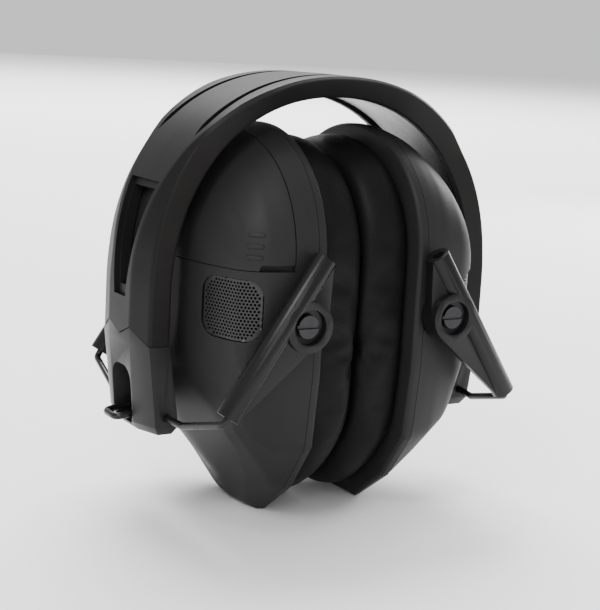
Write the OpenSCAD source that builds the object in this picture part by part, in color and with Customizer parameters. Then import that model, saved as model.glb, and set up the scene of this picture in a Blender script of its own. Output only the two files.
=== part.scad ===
// Folding electronic earmuff, shown folded: both cups lie face to face inside the headband.
// X runs from cup to cup, Y from front to rear, Z up. The cup chins stand on Z = 0.
// Every side part is drawn for the right side (+X) and mirrored for the left.

/* [Ear cups] */
// Half width of a cup across the rim
cup_half_w = 37.5; // [35:0.5:40]
// Height of a cup from chin to crown
cup_h = 111; // [108:1:112]
// Distance from the mid plane to the inner face of the rim
rim_x = 15; // [14.5:0.1:15.5]
// Distance from the mid plane to the outer face of a cup
cup_x = 44.2; // [43:0.1:44.5]
// Wall thickness of the cup shell
cup_wall = 1.8; // [1.4:0.1:2.2]
// Gap between each cushion face and the mid plane
cushion_gap = 1; // [0.8:0.1:2]

/* [Headband] */
// Half width of the band over its outer surface
band_half_x = 58.3; // [57.8:0.1:60]
// Rise of the outer surface above the band's springing line
band_rise = 60.6; // [60:0.1:62]
// Height of the springing line
band_z = 64.5; // [64:0.1:65]
// Half width of the band at the crown, front to rear
crown_half_y = 19; // [17:0.5:21]
// Half width of the band along its inner edge
edge_half_y = 15; // [15:0.5:17]
// Rotation of each half of the band when the muff is opened, for one degree of unfolding
spread_ratio = 0.38; // [0.37:0.01:0.4]

/* [Wire and arms] */
// Distance from the mid plane to the axis on which the wire yoke swings
hinge_x = 49.9; // [49.6:0.1:50.2]
// Height of that axis
hinge_z = 31; // [30.8:0.1:31.2]
// Diameter of the spring wire
wire_d = 2; // [1.8:0.1:2.2]
// Distance from the mid plane to the cup pivot
pivot_x = 23.6; // [23.4:0.1:23.8]
// Height of the cup pivot
pivot_z = 60.5; // [60.3:0.1:60.7]
// Distance from the middle to the centre line of an arm's tube, front to rear
tube_y = 41.1; // [41:0.1:41.6]
// Outer diameter of an arm's tube
tube_d = 6.4; // [6:0.1:6.6]
// Length of an arm's tube
tube_l = 49; // [47:0.5:50]
// Diameter of the round boss round the cup pivot
boss_d = 13.8; // [13:0.1:14.4]

/* [Electronics] */
// Diameter of an AAA cell
cell_d = 10.5; // [10.2:0.1:10.5]
// Length of an AAA cell
cell_l = 44.5; // [44:0.1:44.5]
// Diameter of the loudspeaker
speaker_d = 36; // [30:1:38]
// Diameter of the volume knob
knob_d = 12; // [10:0.5:13]
// Bore of the audio socket
jack_bore_d = 3.6; // [3.5:0.05:3.7]

/* [Hidden] */

skin = "dimgray";
dark = "#2b2b2d";
black = "#17171a";
metal = "silver";

clear = 0.15;              // gap between fixed neighbours

// ---- Cup surface -------------------------------------------------------------------------

// One row per depth: distance outward, half width, top, centre of the top curve, lower end of
// the straight side, crease (y, z), chin ridge (y, z) and lowest point, heights above the chin.
cup_rows = [
  [rim_x,       36.7, 110.2, 76, 45, 34.6, 24.8, 11.6, 0.8, 0.8],
  [rim_x + 0.8, 37.5, 111,   76, 45, 35.4, 24.5, 12,   0,   0],
  [rim_x + 3,   37.5, 111,   76, 45, 35.4, 24.5, 11,   0,   0],
  [20.5,        37.3, 110.5, 76, 44, 34.9, 24.6, 8.5,  1,   0],
  [25.5,        36.6, 108.4, 76, 43, 33.6, 24.9, 16.3, 12,  8.0],
  [32.5,        35.2, 102.6, 75, 42, 31.0, 28.5, 23.2, 23,  15.8],
  [36,          33.2,  98.0, 74, 44, 29.6, 34,   23.6, 27,  20.6],
  [38.9,        30.0,  93.6, 73, 54, 27.5, 47,   20,   34,  24.6],
  [42.8,        17.5,  87.0, 72, 60, 16,   52,   11,   41,  33],
  [cup_x,        9,    80.0, 71, 62, 8.5,  56,   6,    48,  42]
];
top_power = 2.1;
top_steps = 14;
shell_rows = [2:9];

function power_curve(a, p) = sign(a) * pow(abs(a), 2 / p);

// Half of the outline, from the straight side round to the top, moved in by an inset
function cup_ring(row, inset) =
  let (k = (row[0] - rim_x) / (cup_x - rim_x),
       x = row[0] - inset * k,
       w = row[1] - inset,
       rise = row[2] - row[3] - inset,
       sy = cup_half_w / 37.5,
       sz = cup_h / 111,
       arc = [for (i = [0:top_steps])
         let (a = 180 * i / top_steps)
         [w * power_curve(cos(a), top_power), row[3] + rise * power_curve(sin(a), top_power)]],
       low = [[row[5] - inset, row[6] + inset * 0.4], [row[7] - inset * 0.6, row[8] + inset]],
       run = low[0] - low[1],
       bulge = (low[0] + low[1]) / 2 + 0.083 * [run[1], -run[0]],
       half = [low[1], bulge, low[0], [w, row[4]]],
       other = [for (i = [3:-1:0]) [-half[i][0], half[i][1]]],
       ring = concat([[0, row[9] + inset]], half, arc, other))
  [for (p = ring) [x, p[0] * sy, p[1] * sz]];

// Closed solid through rings of points, counter-clockwise as seen from the last ring
module loft(rings) {
  n = len(rings[0]);
  last = len(rings) - 1;
  sides = [for (k = [0:last - 1]) for (i = [0:n - 1])
    let (a = k * n + i, b = a + n, j = (i + 1) % n, c = (k + 1) * n + j, d = k * n + j)
    each [[a, b, c], [a, c, d]]];
  polyhedron(
    points = [for (r = rings) each r],
    faces = concat([[for (i = [0:n - 1]) i]], sides, [[for (i = [n - 1:-1:0]) last * n + i]]));
}

module cup_form(inset) {
  loft([for (r = shell_rows) cup_ring(cup_rows[r], inset)]);
}

// Outline of the rim at a distance from the mid plane, moved in by an inset
function outline(x, inset) = [for (p = cup_ring(cup_rows[1], inset)) [x, p[1], p[2]]];

module side(left) {
  if (left) mirror([1, 0, 0]) children();
  else children();
}

// Rod between two points, and a bent rod through several
module rod(a, b, d) {
  v = b - a;
  translate(a)
    rotate([0, acos(v[2] / norm(v)), atan2(v[1], v[0])])
      cylinder(h = norm(v), d = d, $fn = 40);
}

module bent_rod(points, d) {
  for (i = [0:len(points) - 2]) rod(points[i], points[i + 1], d);
  for (i = [1:len(points) - 2]) translate(points[i]) sphere(d = d + 0.08, $fn = 40);
}

// Points a drawing's Z axis along a direction
module facing(at, n) {
  translate(at) rotate([0, acos(n[2] / norm(n)), atan2(n[1], n[0])]) children();
}

// Cylinder along X or along Y
module round_x(x0, x1, d) {
  translate([x0, 0, 0]) rotate([0, 90, 0]) cylinder(h = x1 - x0, d = d, $fn = 64);
}

module round_y(x, z, y0, y1, d) {
  translate([x, y1, z]) rotate([90, 0, 0]) cylinder(h = y1 - y0, d = d, $fn = 64);
}

module front_and_rear() {
  children();
  mirror([0, 1, 0]) children();
}

module box(from, to) {
  translate(from) cube(to - from);
}

// ---- Headband ----------------------------------------------------------------------------

band_power = 2.15;
band_thick_z = 6.1;        // thickness at the crown
band_thick_x = 8.4;        // thickness at the sides
crown_turn = 20;           // angle from the top at which the crown ends
crown_end = 19.6;
ridge_depth = 1.75;        // how far the flank's outer edge lies below the outer surface
side_bottom = 50;
channel_depth = 3;
channel_half = 12.5;

// Point in the XZ plane at angle t from the top and a depth below the outer surface
function band_point(t, depth) =
  [(band_half_x - depth * band_thick_x / band_thick_z) * power_curve(sin(t), band_power),
   band_z + (band_rise - depth) * power_curve(cos(t), band_power)];

function blend(a, b, t) = a + (b - a) * min(1, max(0, t));

function mirror_y(p) = [p[0], -p[1], p[2]];

// Ring of the band's solid section at angle t, moved down by a drop
function band_section(t, drop) =
  let (low = min(1, max(0, (abs(t) - 42) / 40)),
       wide = blend(crown_half_y, edge_half_y, (abs(t) - 22) / 28),
       crest = blend(wide - 1, 6.8, low),
       o = band_point(t, 0),
       r = band_point(t, blend(0.8, ridge_depth, low)),
       i = band_point(t, band_thick_z),
       half = [for (p = [[i, edge_half_y], [r, wide], [o, crest]])
         [p[0][0], p[1], p[0][1] - drop]])
  [half[0], half[1], half[2], mirror_y(half[2]), mirror_y(half[1]), mirror_y(half[0])];

// Ring of a strip between two depths below the outer surface and between two Y values
function strip_section(t, d0, d1, y0, y1, drop) =
  let (o = band_point(t, d0), i = band_point(t, d1))
  [for (p = [[i, y1], [o, y1], [o, y0], [i, y0]]) [p[0][0], p[1], p[0][1] - drop]];

side_angles = [for (t = [crown_turn:5:90]) t];
crown_angles = [for (k = [-5:5]) crown_end * k / 5];

module side_strip(d0, d1, half, bottom) {
  loft(concat([for (t = side_angles) strip_section(t, d0, d1, -half, half, 0)],
              [strip_section(90, d0, d1, -half, half, band_z - bottom)]));
}

// Wedge cut into the outer surface of the band's side
module side_wedge(t0, t1, half0, half1, depth) {
  loft([for (k = [0:6])
    let (h = blend(half0, half1, k / 6))
    strip_section(t0 + (t1 - t0) * k / 6, -1, depth, -h, h, 0)]);
}

// Long groove beside the middle of the crown
module groove(t0, t1) {
  loft([for (k = [0:8]) strip_section(t0 + (t1 - t0) * k / 8, -1, 1.6, 10, 12.6, 0)]);
}

// Everything above the zigzag joint between the band and its end cap
module above_joint(shift) {
  translate([40, 0, shift])
    rotate([90, 0, 90])
      linear_extrude(height = 25)
        polygon([[-20, 51], [-15, 51], [-6.6, 55.1], [0, 52.3], [6.6, 55.1], [15, 51], [20, 51],
                 [20, 75], [-20, 75]]);
}

module headband_crown() color(dark) difference() {
  loft([for (t = crown_angles) band_section(t, 0)]);
  loft([for (t = [-24:4:24])
    strip_section(t, channel_depth, band_thick_z + 1, -channel_half, channel_half, 0)]);
  front_and_rear() groove(-24, 24);
}

module headband_liner_crown() color(black)
  loft([for (t = crown_angles)
    strip_section(t, channel_depth + clear, band_thick_z - 0.7,
                  clear - channel_half, channel_half - clear, 0)]);

module headband_side(left) color(dark) side(left) difference() {
  loft(concat([for (t = side_angles) band_section(t, 0)],
              [band_section(90, band_z - side_bottom)]));
  loft(concat([for (t = [16:4:88]) strip_section(t, channel_depth, band_thick_z + 1,
                                                 -channel_half, channel_half, 0)],
              [strip_section(90, channel_depth, band_thick_z + 1,
                             -channel_half, channel_half, 20)]));
  side_wedge(61, 92, 8.8, 3.6, 1);
  side_wedge(63, 90, 7, 2.4, 4);
  front_and_rear() groove(16, 44);
  difference() {
    box([40, -20, 40], [70, 20, 58]);
    above_joint(clear / 2);
  }
}

module headband_liner(left) color(black) side(left)
  side_strip(channel_depth + clear, band_thick_z - 0.7, channel_half - clear, 58.2);

// ---- End cap and wire --------------------------------------------------------------------

crank_reach = 10.1;
crank_drop = 9;            // degrees by which the crank hangs below the horizontal
crank_half = 3.8;

// Ring of the end cap at a height, for outer crest, ridge and inner edge distances
function cap_ring(z, crest, ridge, inner, half) =
  let (p = [[inner, half, z], [ridge, half, z], [crest, half * 0.45, z]])
  [p[0], p[1], p[2], mirror_y(p[2]), mirror_y(p[1]), mirror_y(p[0])];

module end_cap(left) color("gray") side(left) difference() {
  union() {
    difference() {
      loft([cap_ring(57, band_half_x, band_half_x - 2.4, 49.9, 15),
            cap_ring(50.6, band_half_x - 0.4, band_half_x - 2.4, 49.7, 15),
            cap_ring(28.4, band_half_x - 2.4, band_half_x - 5.1, 46.3, 15),
            cap_ring(26, band_half_x - 4.2, band_half_x - 6.6, 47.6, 13.6)]);
      above_joint(-clear / 2);
    }
    box([50.15, clear - channel_half, 49], [54, channel_half - clear, 57.8]);
  }
  round_y(hinge_x, hinge_z, -20, 20, wire_d + 0.1);
  translate([48.3, 0, 27.2]) rotate([90, 0, 90]) linear_extrude(height = 20) slot_outline();
}

// Outline of the opening for the wire's crank
module slot_outline() {
  translate([-6, 3]) square([12, 8.9]);
  translate([-3, 0]) square([6, 12]);
  translate([-1.5, 3]) square([3, 13.4]);
  for (y = [-3, 3]) translate([y, 3]) circle(r = 3, $fn = 48);
  for (y = [-1.5, 1.5]) translate([y, 11.9]) circle(r = 4.5, $fn = 64);
}

tube_dir = [-0.5547, 0, 0.8321];
tube_low = [45.5, -tube_y, 37.3];
tube_high = tube_low + tube_l * tube_dir;

module wire_yoke(left) color(metal) side(left) {
  crank = [hinge_x + crank_reach * cos(crank_drop), 0, hinge_z - crank_reach * sin(crank_drop)];
  end = tube_low + 42 * tube_dir;
  half = [end, [46.6, -tube_y, 35.6], [49, -22.5, 30.7], [hinge_x, -16.4, hinge_z],
          [hinge_x, -crank_half, hinge_z], [crank[0], -crank_half, crank[2]]];
  bent_rod(concat(half, [for (i = [5:-1:0]) [half[i][0], -half[i][1], half[i][2]]]), wire_d);
}

// Point of an arm, from a distance down the tube and a distance across towards the pivot
function arm_point(s, n) = [tube_high[0] - s * tube_dir[0] - n * tube_dir[2],
                            tube_high[2] - s * tube_dir[2] + n * tube_dir[0]];

module arm(left, rear) color(black) side(left) mirror([0, rear ? 1 : 0, 0]) difference() {
  union() {
    rod(tube_low, tube_high, tube_d);
    round_y(pivot_x, pivot_z, -44.2, -37.8, boss_d);
    translate([0, 1.1 - tube_y, 0])
      rotate([90, 0, 0])
        linear_extrude(height = 2.2)
          polygon([for (p = [[0.5, 0], [0.5, 2.9], [13.5, 10.8], [21.7, 10.8], [48, 2.9], [48, 0]])
            arm_point(p[0], p[1])]);
  }
  rod(tube_low - tube_dir, tube_high + tube_dir, wire_d + 0.2);
  rod(tube_high - 3 * tube_dir, tube_high + tube_dir, 3.3);
  round_y(pivot_x, pivot_z, -45, -42.1, 9.6);
  round_y(pivot_x, pivot_z, -43, -37, 5.1);
}

// ---- Ear cups ----------------------------------------------------------------------------

shell_x = rim_x + 3;
door_x = 24.5;
door_z = 74;
mesh_at = [37.9, -26.9, 63.3];
mesh_out = [0.78, -0.62, 0];
speaker_z = 55;
rim_screw_places = [[28.5, 90], [-28.5, 90], [29, 36], [-29, 36]];
knob_at = [25.6, 29.9, 20.8];
knob_out = [0.43, 0.7, -0.57];
socket_at = [25.6, 19, 13.4];
socket_out = [0.43, 0.364, -0.826];
pin_x = 27;
pin_z = 99.6;
pin_d = 1.6;

// Inside of the cup, open towards the rim
module cup_hollow(inset) {
  loft(concat([[for (p = cup_ring(cup_rows[2], inset)) [shell_x - 1, p[1], p[2]]]],
              [for (r = [3:9]) cup_ring(cup_rows[r], inset)]));
}

module mesh_window(margin) {
  facing(mesh_at, mesh_out)
    translate([0, 0, -9])
      linear_extrude(height = 14)
        rounded_rectangle(16.8 - 2 * margin, 19 - 2 * margin, 4.8 - margin);
}

module rounded_rectangle(a, b, r) {
  square([a - 2 * r, b], center = true);
  square([a, b - 2 * r], center = true);
  for (x = [-1, 1]) for (y = [-1, 1])
    translate([x * (a / 2 - r), y * (b / 2 - r)]) circle(r = r, $fn = 48);
}

module door_zone(gap) {
  box([door_x + gap, -45, door_z + gap / 2], [60, 45, 120]);
}

module cup_shell(left) color(skin) side(left) difference() {
  union() {
    difference() {
      cup_form(0);
      cup_hollow(cup_wall);
    }
    intersection() {
      cup_form(0);
      union() {
        for (p = rim_screw_places) screw_post(p);
        front_and_rear() round_y(pivot_x, pivot_z, -37.4, -30, 10);
        if (left) pin_ears();
        else control_pads();
      }
    }
    front_and_rear() round_y(pivot_x, pivot_z, -37.6, -36, 10);
  }
  for (p = rim_screw_places) translate([0, p[0], p[1]]) round_x(shell_x - 1, 24.2, 2.3);
  front_and_rear() round_y(pivot_x, pivot_z, -38, -31, 3.1);
  mesh_window(0);
  if (left) {
    difference() {
      door_zone(0);
      pin_ears();
    }
    round_y(pin_x, pin_z, -20, 20, pin_d);
  } else {
    facing(knob_at, knob_out) translate([0, 0, -1.2]) cylinder(h = 8, d = knob_d + 1.2, $fn = 64);
    facing(knob_at, knob_out) translate([0, 0, -5]) cylinder(h = 8, d = 5, $fn = 48);
    facing(socket_at, socket_out) translate([0, 0, -5]) cylinder(h = 12, d = 8.4, $fn = 64);
  }
}

// Post for a rim screw, with a web to the side wall
module screw_post(p) {
  wall = 36 * sign(p[0]);
  translate([0, p[0], p[1]]) round_x(shell_x, 27, 5.6);
  box([shell_x, min(p[0], wall), p[1] - 1], [24.4, max(p[0], wall), p[1] + 1]);
}

// Thicker wall round the knob and the socket
module control_pads() {
  facing(knob_at, knob_out) translate([0, 0, -3.2]) cylinder(h = 6, d = 16, $fn = 64);
  facing(socket_at, socket_out) translate([0, 0, -3.2]) cylinder(h = 6, d = 13, $fn = 64);
}

// Two ears inside the left shell that carry the door's hinge pin
module pin_ears() front_and_rear() {
  box([19, 11.2, pin_z - 1.6], [door_x - 0.1, 12.6, 107]);
  box([19, 11.2, pin_z - 1.6], [pin_x + 1.4, 12.6, pin_z + 1.1]);
}

module rim_plate(left) color(skin) side(left) difference() {
  loft([cup_ring(cup_rows[0], 0), cup_ring(cup_rows[1], 0),
        [for (p = cup_ring(cup_rows[2], 0)) [shell_x - clear, p[1], p[2]]]]);
  translate([0, 0, speaker_z]) round_x(rim_x - 1, shell_x + 1, speaker_d - 5);
  for (p = rim_screw_places) translate([0, p[0], p[1]]) {
    round_x(rim_x - 1, shell_x + 1, 2.4);
    round_x(rim_x - 1, rim_x + 1.6, 4.8);
  }
}

module rim_screws(left) color(metal) side(left)
  for (p = rim_screw_places) translate([0, p[0], p[1]]) difference() {
    union() {
      round_x(rim_x + 0.2, rim_x + 1.5, 4.4);
      round_x(rim_x + 1, 24, 2);
    }
    box([rim_x, -1.6, -0.3], [rim_x + 0.9, 1.6, 0.3]);
    box([rim_x, -0.3, -1.6], [rim_x + 0.9, 0.3, 1.6]);
  }

// Long round hole through the cushion for the ear
module ear_hollow(x0, x1, r) {
  for (z = [48, 68]) translate([0, 0, z]) round_x(x0, x1, 2 * r);
  box([x0, -r, 48], [x1, r, 68]);
}

module ear_cushion(left) color(black) side(left) difference() {
  loft([outline(cushion_gap, 8.6), outline(cushion_gap + 1.2, 5.6), outline(cushion_gap + 3.6, 3.8),
        outline(cushion_gap + 7, 3.2), outline(rim_x - 3, 3.4), outline(rim_x - clear, 4)]);
  ear_hollow(0, rim_x + 1, 20);
}

module foam_insert(left) color("dimgray") side(left) ear_hollow(rim_x - 3.2, rim_x - 0.2, 19.6);

module speaker(left) color(metal) side(left) translate([0, 0, speaker_z]) {
  round_x(shell_x + 0.1, shell_x + 2.4, speaker_d);
  round_x(shell_x + 2, shell_x + 7, speaker_d - 10);
}

module pivot_screws(left) color(metal) side(left) front_and_rear() difference() {
  union() {
    round_y(pivot_x, pivot_z, -43.3, -42.15, 6.2);
    round_y(pivot_x, pivot_z, -42.5, -32, 3);
  }
  box([pivot_x - 4, -44, pivot_z - 0.5], [pivot_x + 4, -42.6, pivot_z + 0.5]);
}

module pivot_bushes(left) color(metal) side(left) front_and_rear() difference() {
  round_y(pivot_x, pivot_z, -42.1, -37.7, 5);
  round_y(pivot_x, pivot_z, -43, -37, 3.1);
}

module mic_mesh(left) color(black) side(left) intersection() {
  difference() {
    cup_form(0.5);
    cup_form(1.1);
  }
  mesh_window(0.25);
}

module microphone(left) color(metal) side(left)
  facing(mesh_at, mesh_out) translate([0, 0, -7.5]) cylinder(h = 3, d = 9.7, $fn = 64);

// ---- Battery bay in the left cup ---------------------------------------------------------

cell_places = [[31.2, 80.6], [26.6, 91]];

module battery_door() color(skin) side(true) {
  difference() {
    intersection() {
      cup_form(0);
      door_zone(0.5);
    }
    cup_hollow(cup_wall);
  }
  difference() {
    intersection() {
      front_and_rear() box([pin_x - 1.6, -10.5, pin_z - 1.6], [pin_x + 3, -5.5, 120]);
      cup_form(0.6);
      door_zone(0.5);
    }
    round_y(pin_x, pin_z, -30, 30, pin_d + 0.1);
  }
}

module battery_door_hinge_pin() color(metal) side(true) round_y(pin_x, pin_z, -12.6, 12.6, pin_d);

module battery_tray() color(black) side(true) intersection() {
  difference() {
    box([19.5, -25, 74.6], [40, 25, 97.5]);
    box([20.3, -23.6, 75.3], [41, 23.6, 99]);
  }
  cup_form(cup_wall + 0.5);
}

module batteries() color("goldenrod") side(true)
  for (p = cell_places) {
    round_y(p[0], p[1], -cell_l / 2, cell_l / 2 - 1.2, cell_d);
    round_y(p[0], p[1], cell_l / 2 - 1.3, cell_l / 2, 3.8);
  }

module battery_contacts() color(metal) side(true)
  for (p = cell_places) for (y = [-23.3, 22.4])
    round_y(p[0], p[1], y, y + 0.9, 7);

// ---- Controls in the right cup -----------------------------------------------------------

module circuit_board() color("darkgreen") {
  box([28, -20, 38], [29.6, 20, 72]);
  box([29.5, -7, 50], [31, 5, 60]);
  box([29.5, 8, 42], [32.5, 14, 48]);
  translate([29.5, -13, 44]) rotate([0, 90, 0]) cylinder(h = 5, d = 6, $fn = 48);
}

module volume_control() color(metal) facing(knob_at, knob_out) {
  translate([0, 0, -7]) cylinder(h = 3.8, d = 8.6, $fn = 64);
  translate([0, 0, -4]) cylinder(h = 5.6, d = 3.9, $fn = 48);
}

module volume_knob() color(black) facing(knob_at, knob_out) difference() {
  translate([0, 0, -1]) cylinder(h = 5, d = knob_d, $fn = 64);
  translate([0, 0, -2]) cylinder(h = 4, d = 4, $fn = 48);
  for (a = [0:30:330]) rotate([0, 0, a]) translate([knob_d / 2 + 0.3, 0, 0.6])
    cylinder(h = 5, d = 1.6, $fn = 24);
}

module audio_socket() color(black) facing(socket_at, socket_out) difference() {
  translate([0, 0, -8]) cylinder(h = 8.2, d = 8, $fn = 64);
  translate([0, 0, -7]) cylinder(h = 9, d = jack_bore_d, $fn = 48);
}

headband_crown();
headband_liner_crown();
headband_side(true);  // left_headband_side
headband_side(false);  // right_headband_side
headband_liner(true);  // left_headband_liner
headband_liner(false);  // right_headband_liner
end_cap(true);  // left_end_cap
end_cap(false);  // right_end_cap
wire_yoke(true);  // left_wire_yoke
wire_yoke(false);  // right_wire_yoke
arm(true, false);  // left_front_arm
arm(true, true);  // left_rear_arm
arm(false, false);  // right_front_arm
arm(false, true);  // right_rear_arm
cup_shell(true);  // left_cup_shell
cup_shell(false);  // right_cup_shell
rim_plate(true);  // left_rim_plate
rim_plate(false);  // right_rim_plate
ear_cushion(true);  // left_ear_cushion
ear_cushion(false);  // right_ear_cushion
foam_insert(true);  // left_foam_insert
foam_insert(false);  // right_foam_insert
speaker(true);  // left_speaker
speaker(false);  // right_speaker
pivot_screws(true);  // left_pivot_screws
pivot_screws(false);  // right_pivot_screws
pivot_bushes(true);  // left_pivot_bushes
pivot_bushes(false);  // right_pivot_bushes
mic_mesh(true);  // left_mic_mesh
mic_mesh(false);  // right_mic_mesh
microphone(true);  // left_microphone
microphone(false);  // right_microphone
rim_screws(true);  // left_rim_screws
rim_screws(false);  // right_rim_screws
battery_door();
battery_door_hinge_pin();
battery_tray();
batteries();
battery_contacts();
circuit_board();
volume_control();
volume_knob();
audio_socket();
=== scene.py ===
import math

import bmesh
import bpy
import numpy as np
from mathutils import Matrix, Vector
from mathutils.bvhtree import BVHTree


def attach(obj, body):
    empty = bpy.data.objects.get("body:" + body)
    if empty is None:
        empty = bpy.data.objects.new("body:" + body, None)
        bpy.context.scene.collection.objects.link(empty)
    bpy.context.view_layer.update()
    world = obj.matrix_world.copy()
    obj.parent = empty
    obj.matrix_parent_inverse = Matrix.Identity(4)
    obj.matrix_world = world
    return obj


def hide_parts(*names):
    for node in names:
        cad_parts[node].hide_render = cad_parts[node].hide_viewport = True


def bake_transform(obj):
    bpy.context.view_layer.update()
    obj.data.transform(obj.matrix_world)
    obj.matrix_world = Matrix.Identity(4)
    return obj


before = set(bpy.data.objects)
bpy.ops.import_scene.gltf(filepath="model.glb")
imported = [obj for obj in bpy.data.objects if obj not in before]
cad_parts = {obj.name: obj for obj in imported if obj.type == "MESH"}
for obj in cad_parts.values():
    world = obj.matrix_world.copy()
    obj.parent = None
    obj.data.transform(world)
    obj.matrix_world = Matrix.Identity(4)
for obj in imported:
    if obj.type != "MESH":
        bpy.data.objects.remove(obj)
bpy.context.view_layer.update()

MM = 0.001
SIDES = {"left": -1.0, "right": 1.0}

# Ear cup, in millimetres: distance outward, half width, top, centre of the top curve, lower end
# of the straight side, crease (y, z), chin ridge (y, z), lowest point.
CUP_ROWS = np.array([
    [15.0, 36.7, 110.2, 76, 45, 34.6, 24.8, 11.6, 0.8, 0.8],
    [15.8, 37.5, 111.0, 76, 45, 35.4, 24.5, 12.0, 0.0, 0.0],
    [18.0, 37.5, 111.0, 76, 45, 35.4, 24.5, 11.0, 0.0, 0.0],
    [20.5, 37.3, 110.5, 76, 44, 34.9, 24.6, 8.5, 1.0, 0.0],
    [25.5, 36.6, 108.4, 76, 43, 33.6, 24.9, 16.3, 12.0, 8.0],
    [32.5, 35.2, 102.6, 75, 42, 31.0, 28.5, 23.2, 23.0, 15.8],
    [36.0, 33.2, 98.0, 74, 44, 29.6, 34.0, 23.6, 27.0, 20.6],
    [38.9, 30.0, 93.6, 73, 54, 27.5, 47.0, 20.0, 34.0, 24.6],
    [42.8, 17.5, 87.0, 72, 60, 16.0, 52.0, 11.0, 41.0, 33.0],
    [44.2, 9.0, 80.0, 71, 62, 8.5, 56.0, 6.0, 48.0, 42.0],
])
CUP_TOP_POWER = 2.1
CUP_BULGE = 0.083
SHELL_WALL = 1.6
RIM_BACK, RIM_FACE = 17.85, 15.0
DOOR_X, DOOR_Z = 24.5, 74.0
DOOR_GAP_X, DOOR_GAP_Z = 0.3, 0.22

# Headband, in millimetres
BAND_HALF_X, BAND_RISE, BAND_Z, BAND_POWER = 58.3, 60.6, 64.5, 2.15
BAND_THICK_Z, BAND_THICK_X = 6.1, 8.4
CROWN_HALF_Y, EDGE_HALF_Y = 19.0, 15.0
CHANNEL_DEPTH, CHANNEL_HALF = 3.0, 12.5

HINGE = np.array([49.9, 0.0, 31.0])
TUBE_LOW = np.array([45.5, -41.1, 37.3])
TUBE_DIR = np.array([-0.5547, 0.0, 0.8321])
GRILLE_AT = np.array([37.9, -26.9, 63.3])
GRILLE_WIDE, GRILLE_HIGH, GRILLE_CORNER = 19.0, 16.8, 4.8
GRILLE_OUT = np.array([0.7828, -0.6222, 0.0])
GRILLE_PITCH, GRILLE_HOLE, GRILLE_SUNK, GRILLE_THICK = 1.05, 0.36, 0.55, 0.35
NOTCH_AT, NOTCH_OUT = np.array([30.2, -35.2, 74.9]), (0.26, -0.966, 0.0)
GRIPS_AT = np.array([[35.2, -33.0, 77.7], [34.8, -32.7, 80.6], [34.3, -32.1, 83.5]])
GRIPS_OUT = (0.61, -0.79, 0.0)
KNOB_AT, KNOB_OUT = np.array([25.6, 29.9, 20.8]), (0.43, 0.7, -0.57)
SOCKET_AT, SOCKET_OUT = np.array([25.6, 19.0, 13.4]), (0.43, 0.364, -0.826)


# ---- Shader maths --------------------------------------------------------------------------

class Value:
    """An output of a shader node that can be used in Python arithmetic."""

    def __init__(self, finish, socket):
        self.finish, self.socket = finish, socket

    def math(self, operation, *others, clamp=False):
        sockets = {i: v for i, v in enumerate((self,) + others)}
        return self.finish.node("ShaderNodeMath", {"operation": operation, "use_clamp": clamp}, sockets)

    def __add__(self, other): return self.math("ADD", other)
    def __radd__(self, other): return self.math("ADD", other)
    def __sub__(self, other): return self.math("SUBTRACT", other)
    def __rsub__(self, other): return self.finish.number(other).math("SUBTRACT", self)
    def __mul__(self, other): return self.math("MULTIPLY", other)
    def __rmul__(self, other): return self.math("MULTIPLY", other)
    def clamped(self): return self.math("ADD", 0.0, clamp=True)


class Finish:
    """A material built from nodes, all made through one method."""

    def __init__(self, name, **constants):
        self.material = bpy.data.materials.new(name)
        self.material.use_nodes = True
        self.tree = self.material.node_tree
        self.tree.nodes.clear()
        fixed = {socket.replace("_", " "): value for socket, value in constants.items()}
        shader = self.node("ShaderNodeBsdfPrincipled", {}, fixed)
        self.node("ShaderNodeOutputMaterial", {}, {"Surface": shader})
        self.inputs = shader.socket.node.inputs
        self.place = self.node("ShaderNodeTexCoord", {}, {}, "Object")

    def feed(self, socket, value):
        if isinstance(value, Value):
            self.tree.links.new(value.socket, socket)
        elif socket.type == "RGBA" and len(value) == 3:
            socket.default_value = (*value, 1.0)
        else:
            socket.default_value = value

    def node(self, kind, settings, sockets, output=0):
        made = self.tree.nodes.new(kind)
        stops = settings.get("stops")
        for name, value in settings.items():
            if name != "stops":
                setattr(made, name, value)
        if stops:
            ramp = made.color_ramp.elements
            while len(ramp) < len(stops):
                ramp.new(0.5)
            for element, (position, level) in zip(ramp, stops):
                element.position = position
                element.color = (level, level, level, 1.0)
        for name, value in sockets.items():
            self.feed(made.inputs[name], value)
        return Value(self, made.outputs[output]) if made.outputs else None

    def number(self, value):
        return self.node("ShaderNodeMath", {"operation": "ADD"}, {0: value, 1: 0.0})

    def noise(self, size_mm, detail=2.0, rough=0.5, place=None):
        return self.node("ShaderNodeTexNoise", {}, {"Vector": place or self.place,
                         "Scale": 1000.0 / size_mm, "Detail": detail, "Roughness": rough})

    def cells(self, size_mm, feature="F1"):
        return self.node("ShaderNodeTexVoronoi", {"feature": feature},
                         {"Vector": self.place, "Scale": 1000.0 / size_mm})

    def stretched(self, x, y, z):
        return self.node("ShaderNodeMapping", {}, {"Vector": self.place, "Scale": (x, y, z)})

    def ramp(self, value, *stops):
        return self.node("ShaderNodeValToRGB", {"stops": stops}, {"Fac": value})

    def mix(self, amount, first, second):
        return self.node("ShaderNodeMix", {"data_type": "RGBA"}, {0: amount, 6: first, 7: second}, 2)

    def color(self, value): self.feed(self.inputs["Base Color"], value)
    def roughness(self, value): self.feed(self.inputs["Roughness"], value)

    def relief(self, height, depth_mm, strength=1.0):
        bump = self.node("ShaderNodeBump", {}, {"Height": height, "Distance": depth_mm * MM,
                                                "Strength": strength})
        self.feed(self.inputs["Normal"], bump)


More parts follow.
